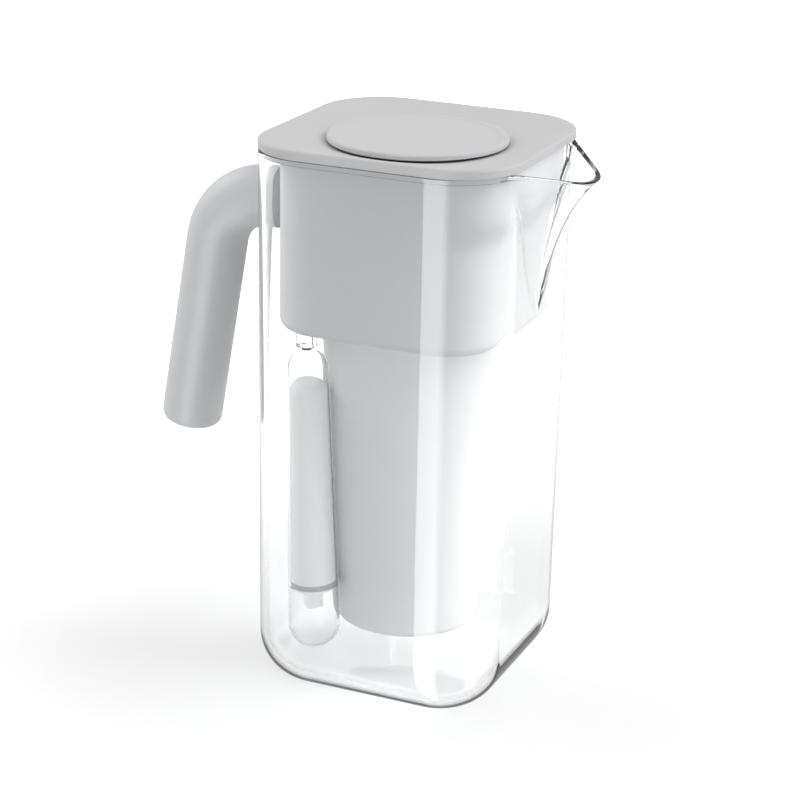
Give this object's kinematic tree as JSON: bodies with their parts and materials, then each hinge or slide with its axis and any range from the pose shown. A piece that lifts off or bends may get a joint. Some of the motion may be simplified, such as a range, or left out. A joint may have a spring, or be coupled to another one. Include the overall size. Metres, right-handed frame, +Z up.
{
  "type": "water filter pitcher",
  "caption": "Square clear pitcher with a wide V spout, lift-out reservoir, tapered twist-in filter, side tube, flat lid with a round refill cap and an open tubular handle.",
  "frame": {"origin": "centre of the jug's flat base", "axes": "+Z up, +X towards the spout, -X towards the handle"},
  "size_m": [0.2229, 0.1274, 0.2692],
  "materials": {
    "clear_jug": "clear gloss copolyester",
    "handle": "satin",
    "collar": "satin",
    "reservoir": "fine satin, slightly translucent",
    "filter": "satin",
    "lid": "fine satin",
    "seal": "soft silicone",
    "feet": "soft",
    "screws": "stainless",
    "screen": "non-woven disc",
    "carbon": "granules",
    "resin": "beads",
    "frosted": "frosted"
  },
  "bodies": {
    "jug": {"jug_body": "clear_jug", "handle_gasket": "seal", "handle_collar": "collar", "handle_grip": "handle", "handle_end_cap": "handle", "handle_screws": "screws", "screw_washers": "seal", "screw_cover": "lid"},
    "reservoir": {"reservoir_shell": "reservoir", "filter_socket": "reservoir", "tube_socket": "clear_jug"},
    "filter": {"filter_housing": "filter", "filter_seal": "seal", "filter_cap": "filter", "inlet_screen": "screen", "carbon_bed": "carbon", "resin_bed": "resin", "outlet_screen": "screen"},
    "side_tube": {"side_tube_shell": "clear_jug", "side_tube_core": "frosted", "side_tube_seal": "seal"},
    "side_tube_cap": {"side_tube_cap": "clear_jug", "side_tube_valve": "frosted"},
    "lid": {"lid_plate": "lid", "lid_skirt": "lid", "lid_gasket": "seal", "refill_guide": "lid"},
    "refill_cap": {"refill_cap": "lid", "cap_plug": "lid", "cap_seal": "seal", "cap_feet": "feet"}
  },
  "joints": [
    {"name": "reservoir_lift", "type": "slide", "parent": "jug", "child": "reservoir", "axis": [0, 0, 1], "range_m": [0, 0.26]},
    {"name": "filter_twist", "type": "hinge", "parent": "reservoir", "child": "filter", "pos_m": [0, 0, 0.18], "axis": [0, 0, 1], "range_deg": [0, 60]},
    {"name": "side_tube_twist", "type": "hinge", "parent": "reservoir", "child": "side_tube", "pos_m": [-0.03363, -0.03483, 0.017], "axis": [-0.023, -0.0238, 0.9995], "range_deg": [0, 90]},
    {"name": "side_tube_cap_unscrew", "type": "hinge", "parent": "side_tube", "child": "side_tube_cap", "pos_m": [-0.03363, -0.03483, 0.017], "axis": [-0.023, -0.0238, 0.9995], "range_deg": [0, 180]},
    {"name": "lid_lift", "type": "slide", "parent": "reservoir", "child": "lid", "axis": [0, 0, 1], "range_m": [0, 0.1]},
    {"name": "refill_cap_lift", "type": "slide", "parent": "lid", "child": "refill_cap", "axis": [0, 0, 1], "range_m": [0, 0.06]}
  ]
}
